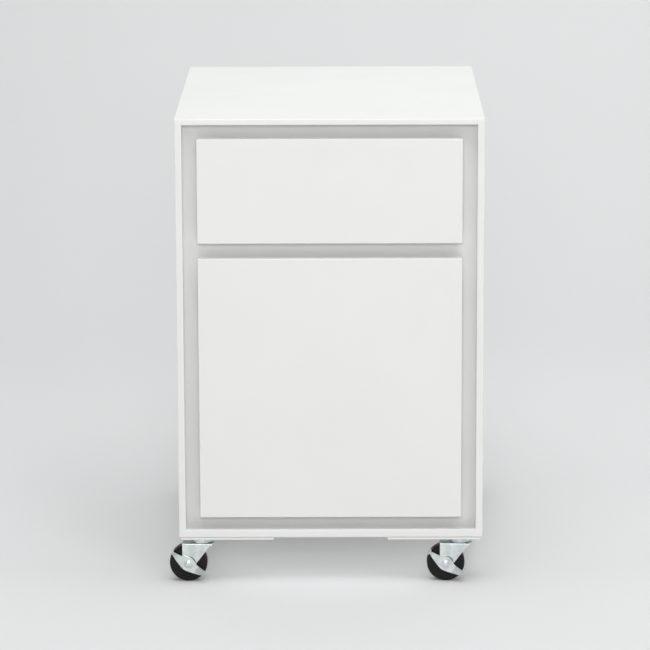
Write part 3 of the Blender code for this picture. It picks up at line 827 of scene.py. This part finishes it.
def bottom_beads(drawer):
    """Low ribs pressed up along the drawer bottom."""
    low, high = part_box(f"{drawer}_drawer_bottom")
    step = (high.x - low.x) / (BEAD_COUNT + 1)
    ribs = []
    for index in range(BEAD_COUNT):
        x = low.x + step * (index + 1)
        rib_low = (x - BEAD_HALF_WIDTH, low.y + BEAD_SETBACK, high.z - BEAD_RISE)
        rib_high = (x + BEAD_HALF_WIDTH, high.y - BEAD_SETBACK, high.z + BEAD_RISE)
        ribs.append(rounded_box_mesh(rib_low, rib_high, BEAD_ROUND))
    piece = add_piece(f"{drawer}_bottom_beads", joined_mesh(ribs), white, sharp_angle=60)
    settle(piece, body_of(f"{drawer}_drawer_bottom"), "white_powder_coat")


def case():
    case_panels()
    front_frame()
    for panel in ("back_panel", "left_caster_channel", "right_caster_channel"):
        finished_copy(panel, white, "white_powder_coat", PANEL_EDGE)
    back_fixings()
    uprights()


def drawers():
    for drawer in ("upper", "lower"):
        for side, sign in (("left", -1), ("right", 1)):
            for member in ("outer", "middle", "inner"):
                finished_copy(f"{drawer}_{side}_slide_{member}", steel, "slide_steel")
            slide_bearings(drawer, side, sign)
        for wall in ("inner_front", "left_side", "right_side", "bottom", "back"):
            finished_copy(f"{drawer}_drawer_{wall}", white, "white_powder_coat")
        drawer_face(drawer)
        drawer_fixings(drawer)
        bottom_beads(drawer)
    for side in ("left", "right"):
        finished_copy(f"{side}_file_rail", steel, "slide_steel", RAIL_EDGE)


# ----------------------------------------------------------------- casters


def caster_place(corner):
    """The matrix from a caster's own axes, with its swivel axis as Z and trailing towards -X."""
    low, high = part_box(f"{corner}_caster_plate")
    wheel_low, wheel_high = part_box(f"{corner}_caster_wheel")
    middle = (low + high) / 2
    turn = 0 if wheel_low.x + wheel_high.x < low.x + high.x else math.pi
    return Matrix.Translation((middle.x, middle.y, 0)) @ Matrix.Rotation(turn, 4, "Z")


def axle_place():
    """The matrix that lays a shape turned about Z on the axle, with its top towards -Y."""
    return Matrix.Translation((-TRAIL, 0, WHEEL_RADIUS)) @ Matrix.Rotation(math.radians(90), 4, "X")


def caster_piece(name, mesh, material, place, node, slot, sharp_angle=SHARP_ANGLE):
    mesh.transform(place)
    piece = add_piece(name, mesh, material, sharp_angle)
    return settle(piece, body_of(node), slot, node)


def half_round(radius, rise, steps):
    """(radius, height) points of a low dome from its middle out to its edge."""
    for step in range(steps + 1):
        angle = math.radians(90 * step / steps)
        yield radius * math.sin(angle), rise * math.cos(angle)


def caster_wheel(corner, place):
    """A solid wheel with a raised hub, a flat side, a round shoulder and a nearly flat tread."""
    shoulder_wide = WHEEL_RADIUS - WHEEL_SIDE_RADIUS
    shoulder_deep = WHEEL_HALF - WHEEL_TREAD_HALF
    shoulder = [
        (
            WHEEL_SIDE_RADIUS + shoulder_wide * math.sin(math.radians(angle)),
            WHEEL_TREAD_HALF + shoulder_deep * math.cos(math.radians(angle)),
        )
        for angle in range(0, 91, 9)
    ]
    hub = WHEEL_HALF + HUB_RISE
    bore = AXLE_RADIUS + HUB_BORE_GAP
    upper = [
        (bore, hub - HUB_CHAMFER), (bore + HUB_CHAMFER, hub),
        (HUB_RADIUS - HUB_ROUND, hub), (HUB_RADIUS - HUB_ROUND / 3, hub - HUB_ROUND / 3),
        (HUB_RADIUS, hub - HUB_ROUND), (HUB_RADIUS + HUB_ROUND / 6, WHEEL_HALF + HUB_ROUND / 2),
        (HUB_RADIUS + HUB_ROUND, WHEEL_HALF), *shoulder, (WHEEL_RADIUS, TREAD_MIDDLE_HALF),
    ]
    profile = upper + [(radius, -height) for radius, height in reversed(upper)]
    mesh = turned_mesh(profile, WHEEL_STEPS, closed=True)
    mesh.transform(axle_place())
    node = f"{corner}_caster_wheel"
    caster_piece(f"{corner}_wheel_solid", mesh, rubber, place, node, "black_wheel", sharp_angle=50)


def caster_axle(corner, place, brake):
    """A bolt with a domed head in front, and a washer and a chamfered nut behind."""
    leg_face = FORK_HALF_GAP + FORK_SHEET
    head_face = leg_face + SEAM
    if brake:
        head_face += BRAKE_STANDOFF + BRAKE_SHEET
    dome = [(r, head_face + HEAD_RIM + h) for r, h in half_round(HEAD_RADIUS, HEAD_THICK - HEAD_RIM, 10)]
    head_foot = [(HEAD_RADIUS, head_face + 0.0001), (HEAD_RADIUS - 0.0003, head_face), (0, head_face)]
    head = turned_mesh([*dome, *head_foot])
    shank = rod_mesh(AXLE_RADIUS, (0, 0, -leg_face - 0.001), (0, 0, head_face + OVERLAP))
    washer_low = -leg_face - SEAM - WASHER_THICK
    washer_high = washer_low + WASHER_THICK
    nut_low = washer_low - NUT_THICK
    washer = turned_mesh([
        (0, washer_high), (WASHER_RADIUS, washer_high), (WASHER_RADIUS, washer_low), (0, washer_low),
    ])
    nut = rod_mesh(HEAD_RADIUS, (0, 0, nut_low), (0, 0, washer_low), 6)
    chamfer = turned_mesh([
        (0, washer_low + CUT_MARGIN), (NUT_CORNERS_CLEAR, washer_low + CUT_MARGIN),
        (NUT_CORNERS_CLEAR, washer_low - NUT_CHAMFER_START), (NUT_FACE_RADIUS, nut_low), (0, nut_low),
    ])
    nut = carved(nut, ("INTERSECT", chamfer))
    mesh = joined_mesh([head, shank, washer, nut])
    mesh.transform(axle_place())
    caster_piece(f"{corner}_axle_bolt", mesh, zinc, place, f"{corner}_caster_axle", "zinc_plate")


def fork_side_outline(crown_middle):
    """The fork seen from the side: upright behind, slanting in front, and round about the axle."""
    below_crown = crown_middle - FORK_SHEET
    slant_high = crown_middle - FORK_SLANT_DROP
    reach, rise = FORK_SLANT_X, slant_high - WHEEL_RADIUS
    slant = math.degrees(math.atan2(rise, reach) - math.acos(FORK_EYE_RADIUS / math.hypot(reach, rise)))
    eye = arc((-TRAIL, WHEEL_RADIUS), FORK_EYE_RADIUS, 180, 360 + slant, 40)
    flare = [
        (FORK_SLANT_X - TRAIL, slant_high),
        (FORK_SLANT_X - TRAIL + FORK_FLARE[0], slant_high + FORK_FLARE[1]),
        (FORK_TOP_REACH - TRAIL, below_crown),
        (FORK_NOSE_X + CUT_MARGIN, below_crown),
        (FORK_NOSE_X + CUT_MARGIN, crown_middle + FORK_CUT_ABOVE),
    ]
    return [(-TRAIL - FORK_EYE_RADIUS, crown_middle + FORK_CUT_ABOVE), *eye, *flare]


def caster_fork(corner, place):
    """One pressed sheet: a crown that droops a little at its nose, folded down into two legs."""
    crown_middle = CROWN_HIGH - FORK_SHEET / 2
    leg_y = FORK_HALF_GAP + FORK_SHEET / 2
    eye_low = WHEEL_RADIUS - FORK_EYE_RADIUS - CUT_MARGIN
    section = filleted(
        [(-leg_y, eye_low), (-leg_y, crown_middle), (leg_y, crown_middle), (leg_y, eye_low)], FORK_BEND
    )
    back = -TRAIL - FORK_EYE_RADIUS - CUT_MARGIN
    sheet = folded_mesh(section, back, FORK_NOSE_X + CUT_MARGIN / 2, FORK_SHEET)
    upright = Matrix.Rotation(math.radians(90), 4, "X")
    side_cut = plate_mesh(fork_side_outline(crown_middle), FORK_SIDE_CUT_THICK, upright)
    half_wide = leg_y + 2 * CUT_MARGIN
    corner_angle = math.degrees(math.asin(half_wide / FORK_NOSE_RADIUS))
    nose_centre = (FORK_NOSE_X - FORK_NOSE_RADIUS, 0)
    nose = arc(nose_centre, FORK_NOSE_RADIUS, -corner_angle, corner_angle, 32)
    top_outline = [(back, -half_wide), *nose, (back, half_wide)]
    top_cut = plate_mesh(top_outline, FORK_TOP_CUT_THICK, Matrix())
    pin_hole = rod_mesh(
        KING_PIN_RADIUS + KING_PIN_GAP,
        (0, 0, CROWN_HIGH - FORK_CUT_ABOVE), (0, 0, CROWN_HIGH + FORK_CUT_ABOVE),
    )
    axle_hole = rod_mesh(
        AXLE_RADIUS + SEAM,
        (-TRAIL, -FORK_CUT_SIDEWAYS, WHEEL_RADIUS), (-TRAIL, FORK_CUT_SIDEWAYS, WHEEL_RADIUS),
    )
    mesh = carved(
        sheet,
        ("INTERSECT", side_cut), ("INTERSECT", top_cut),
        ("DIFFERENCE", pin_hole), ("DIFFERENCE", axle_hole),
    )
    for vert in mesh.vertices:
        past = max(0.0, vert.co.x - FORK_DROOP_START)
        vert.co.z -= FORK_DROOP * (past / (FORK_NOSE_X - FORK_DROOP_START)) ** 2
    node = f"{corner}_caster_fork"
    piece = caster_piece(f"{corner}_fork_pressing", mesh, zinc, place, node, "zinc_plate")
    round_edges(piece, PRESSED_EDGE)


def screw_mesh(radius, rise):
    """A pan-head screw with a cross recess, its head standing up from the origin along Z."""
    rim = rise * SCREW_RIM_SHARE
    dome = [(r, rim + h) for r, h in half_round(radius, rise * (1 - SCREW_RIM_SHARE), 6)]
    head = turned_mesh([*dome, (radius, 0), (0, 0)], 32)
    long, short = radius * CROSS_REACH_SHARE, radius * CROSS_HALF_SHARE
    floor = rise * CROSS_FLOOR_SHARE
    arms = [
        box_mesh((-reach_x, -reach_y, floor), (reach_x, reach_y, rise * 2))
        for reach_x, reach_y in ((long, short), (short, long))
    ]
    return carved(head, *(("DIFFERENCE", arm) for arm in arms))


def caster_plate(corner, place):
    """The top plate with its four screws, the tapered raceway under it, and the headed king pin."""
    under = PLATE_HIGH - PLATE_THICK
    half_x, half_y = PLATE_HALF
    corners = [
        point
        for x, y, start in ((1, 1, 0), (-1, 1, 90), (-1, -1, 180), (1, -1, 270))
        for point in arc(
            (x * (half_x - PLATE_CORNER), y * (half_y - PLATE_CORNER)), PLATE_CORNER, start, start + 90, 8
        )
    ]
    plate = plate_mesh(corners, PLATE_THICK, Matrix.Translation((0, 0, under + PLATE_THICK / 2)))
    bowl_low = CROWN_HIGH + SEAM
    lip, groove_top, groove_low, shoulder = (under - drop for drop in RACE_GROOVE_DROPS)
    groove = RACE_TOP_RADIUS - RACE_GROOVE_DEPTH
    bowl = turned_mesh([
        (0, under + OVERLAP), (RACE_TOP_RADIUS, under + OVERLAP), (RACE_TOP_RADIUS, lip),
        (groove, groove_top), (groove, groove_low), (RACE_TOP_RADIUS - 0.0001, shoulder),
        (RACE_BOTTOM_RADIUS + RACE_ROUND, bowl_low + 3 * RACE_ROUND),
        (RACE_BOTTOM_RADIUS, bowl_low + RACE_ROUND), (RACE_BOTTOM_RADIUS - 0.0005, bowl_low), (0, bowl_low),
    ])
    head_high = CROWN_HIGH - FORK_SHEET - SEAM
    head_rise = KING_PIN_HEAD_THICK - KING_PIN_HEAD_RIM
    dome = [(r, head_high - KING_PIN_HEAD_RIM - h) for r, h in half_round(KING_PIN_HEAD, head_rise, 8)]
    head = turned_mesh([*dome, (KING_PIN_HEAD, head_high), (0, head_high)])
    pin = rod_mesh(KING_PIN_RADIUS, (0, 0, head_high - OVERLAP), (0, 0, under + OVERLAP / 2))
    over = Matrix.Rotation(math.pi, 4, "X")
    screw = screw_mesh(PLATE_SCREW_RADIUS, PLATE_SCREW_RISE)
    screws = [
        moved(screw, Matrix.Translation((x, y, under)) @ over)
        for x in (-half_x + PLATE_SCREW_INSET, half_x - PLATE_SCREW_INSET)
        for y in (-half_y + PLATE_SCREW_INSET, half_y - PLATE_SCREW_INSET)
    ]
    mesh = joined_mesh([plate, bowl, head, pin, *screws])
    node = f"{corner}_caster_plate"
    piece = caster_piece(f"{corner}_swivel_plate", mesh, zinc, place, node, "zinc_plate")
    round_edges(piece, PLATE_EDGE)


def brake_lever(corner, place):
    """A leaf-shaped pressing, curled over the tread at one end and bent out as a foot tab at the other."""
    middle = FORK_HALF_GAP + FORK_SHEET + BRAKE_STANDOFF + BRAKE_SHEET / 2
    flat = plate_mesh(list(smooth_loop(BRAKE_OUTLINE)), BRAKE_SHEET, Matrix())
    along = Vector((BRAKE_AXIS[0], BRAKE_AXIS[1], 0)).normalized()
    build = bmesh.new()
    build.from_mesh(flat)
    for step in range(-BRAKE_SLICES, BRAKE_SLICES + 1):
        bmesh.ops.bisect_plane(
            build, geom=build.verts[:] + build.edges[:] + build.faces[:],
            plane_co=along * step * BRAKE_SLICE_STEP, plane_no=along,
        )
    for vert in build.verts:
        reach = vert.co.dot(along)
        vert.co.z += BRAKE_TAB_SLOPE * max(0.0, reach - BRAKE_TAB_START)
        vert.co.z -= BRAKE_SHOE_CURL * max(0.0, -reach - BRAKE_SHOE_START) ** 2
    hole = rod_mesh(AXLE_RADIUS + SEAM, (0, 0, -CUT_PAST), (0, 0, CUT_PAST))
    mesh = carved(mesh_from(build, "lever"), ("DIFFERENCE", hole))
    upright = Matrix.Rotation(math.radians(90), 4, "X")
    mesh.transform(Matrix.Translation((-TRAIL, -middle, WHEEL_RADIUS)) @ upright)
    shoe_high = (BRAKE_SHOE_HALF, BRAKE_SHOE_REACH, BRAKE_SHEET)
    shoe = rounded_box_mesh((-BRAKE_SHOE_HALF, 0, 0), shoe_high, BRAKE_SHOE_ROUND)
    lift = Matrix.Translation((0, -middle, WHEEL_RADIUS + BRAKE_SHOE_CLEARANCE))
    turn = Matrix.Rotation(math.radians(BRAKE_SHOE_ANGLE), 4, "Y")
    shoe.transform(Matrix.Translation((-TRAIL, 0, WHEEL_RADIUS)) @ turn @ lift)
    node = f"{corner}_brake_lever"
    lever = joined_mesh([mesh, shoe])
    piece = caster_piece(f"{corner}_brake_pressing", lever, zinc, place, node, "zinc_plate")
    round_edges(piece, PRESSED_EDGE, 3)


def brake_spacer(corner, place):
    """A spacer washer between the fork and the lever; its dark colour is painted shade, the shadow line
    round the lever's hub.
    """
    face = FORK_HALF_GAP + FORK_SHEET + SPACER_GAP
    bore, back = AXLE_RADIUS + SEAM, face + SPACER_THICK
    profile = [(bore, face), (bore, back), (SPACER_RADIUS, back), (SPACER_RADIUS, face)]
    washer = turned_mesh(profile, closed=True)
    washer.transform(axle_place())
    washer.transform(place)
    piece = add_piece(f"{corner}_brake_spacer", washer, spacer_steel_painted_dark)
    settle(piece, body_of(f"{corner}_caster_fork"), "zinc_plate")


def casters():
    for corner in ("front_left", "front_right", "rear_left", "rear_right"):
        place = caster_place(corner)
        brake = corner.startswith("front")
        caster_plate(corner, place)
        caster_fork(corner, place)
        caster_wheel(corner, place)
        caster_axle(corner, place, brake)
        if brake:
            brake_lever(corner, place)
            brake_spacer(corner, place)


# --------------------------------------------------------- stage and light


def cyclorama():
    """A pale floor that sweeps up into a wall behind the cabinet."""
    build = bmesh.new()
    bend = arc((SWEEP_FOOT, SWEEP_RADIUS), SWEEP_RADIUS, -88, 0, 24)
    wall_top = (SWEEP_FOOT + SWEEP_RADIUS, WALL_HIGH)
    profile = [(SWEEP_FRONT, 0.0), (SWEEP_FOOT, 0.0), *bend, wall_top]
    verts = [build.verts.new((-SWEEP_WIDTH / 2, y, z)) for y, z in profile]
    edges = [build.edges.new(pair) for pair in zip(verts, verts[1:])]
    grown = bmesh.ops.extrude_edge_only(build, edges=edges)
    far_verts = [item for item in grown["geom"] if isinstance(item, bmesh.types.BMVert)]
    bmesh.ops.translate(build, verts=far_verts, vec=(SWEEP_WIDTH, 0, 0))
    build.faces.ensure_lookup_table()
    build.normal_update()
    if build.faces[0].normal.z < 0:
        bmesh.ops.reverse_faces(build, faces=build.faces)
    paper = Shading("backdrop_paper", 0.85)
    paper.see_through_from_behind()
    paper.colour(paper.mixed(paper.noise(0.6, 2), (0.752, 0.757, 0.762), (0.740, 0.745, 0.750)))
    sweep = add_piece("backdrop", mesh_from(build, "backdrop"), paper.material)


def area_light(name, place, aim, size, power, colour=WHITE):
    """A rectangular lamp at a place, facing the aim, with its sides in metres and its power in watts."""
    light = bpy.data.lights.new(name, "AREA")
    light.shape = "RECTANGLE"
    light.size, light.size_y = size
    light.energy = power
    light.color = colour
    lamp = bpy.data.objects.new(name, light)
    lamp.location = place
    lamp.rotation_euler = (Vector(aim) - Vector(place)).to_track_quat("-Z", "Y").to_euler()
    bpy.context.scene.collection.objects.link(lamp)
    return lamp


def studio():
    world = bpy.data.worlds.new("studio")
    world.use_nodes = True
    background = world.node_tree.nodes["Background"]
    background.inputs["Color"].default_value = (*WHITE, 1)
    background.inputs["Strength"].default_value = WORLD_STRENGTH
    bpy.context.scene.world = world
    area_light("overhead", (0, 0.4, 3.2), (0, 0, 0), (3.2, 3.2), 47.5, COOL)
    area_light("over_front", (0, -1.8, 3.4), (0, 0, 0.3), (2.4, 1.2), 35.0, COOL)
    area_light("front", (0, -4.7, 1.7), (0, 0, 0.35), (0.9, 0.9), 64.5)
    area_light("key", (1.2, -2.7, 2.6), (0, 0, 0.2), (1.0, 1.0), 10.5, COOL)
    area_light("left_side", (-3.2, -0.8, 1.3), (0, 0, 0.3), (2.0, 2.0), 24.0, WARM)
    area_light("right_side", (3.2, -0.8, 1.3), (0, 0, 0.3), (2.0, 2.0), 31.0, WARM)
    area_light("back_low", (0, 2.6, 1.2), (0, 0, 0.1), (2.6, 0.9), 4.5)
    area_light("wall_right", (1.7, 1.2, 2.4), (1.7, 3.2, 0.8), (1.2, 1.2), 10.0)
    # Two faint lamps just under the case lighten the shadow on the floor there.
    lifts = (
        area_light("under_lift", (0, -0.04, 0.0575), (0, -0.04, 0), (0.36, 0.46), 0.105, COOL),
        area_light("front_lift", (0, -0.200, 0.055), (0, -0.200, 0), (0.29, 0.06), 0.014, COOL),
    )
    for lamp in lifts:
        lamp.visible_camera = False
        lamp.visible_glossy = False
    bpy.context.scene.view_settings.view_transform = "Standard"


def camera():
    forward = Vector((
        math.sin(CAMERA_YAW) * math.cos(CAMERA_PITCH),
        math.cos(CAMERA_YAW) * math.cos(CAMERA_PITCH),
        -math.sin(CAMERA_PITCH),
    ))
    level = Vector((math.cos(CAMERA_YAW), -math.sin(CAMERA_YAW), 0))
    above = level.cross(forward)
    right = math.cos(CAMERA_ROLL) * level + math.sin(CAMERA_ROLL) * above
    up = right.cross(forward)
    data = bpy.data.cameras.new("camera")
    data.lens = CAMERA_LENS
    data.sensor_width = SENSOR_WIDTH
    data.clip_end = 50
    view = bpy.data.objects.new("camera", data)
    bpy.context.scene.collection.objects.link(view)
    turn = Matrix((right, up, -forward)).transposed().to_4x4()
    view.matrix_world = Matrix.Translation(CAMERA_AT) @ turn
    bpy.context.scene.camera = view


case()
drawers()
casters()
cyclorama()
studio()
camera()
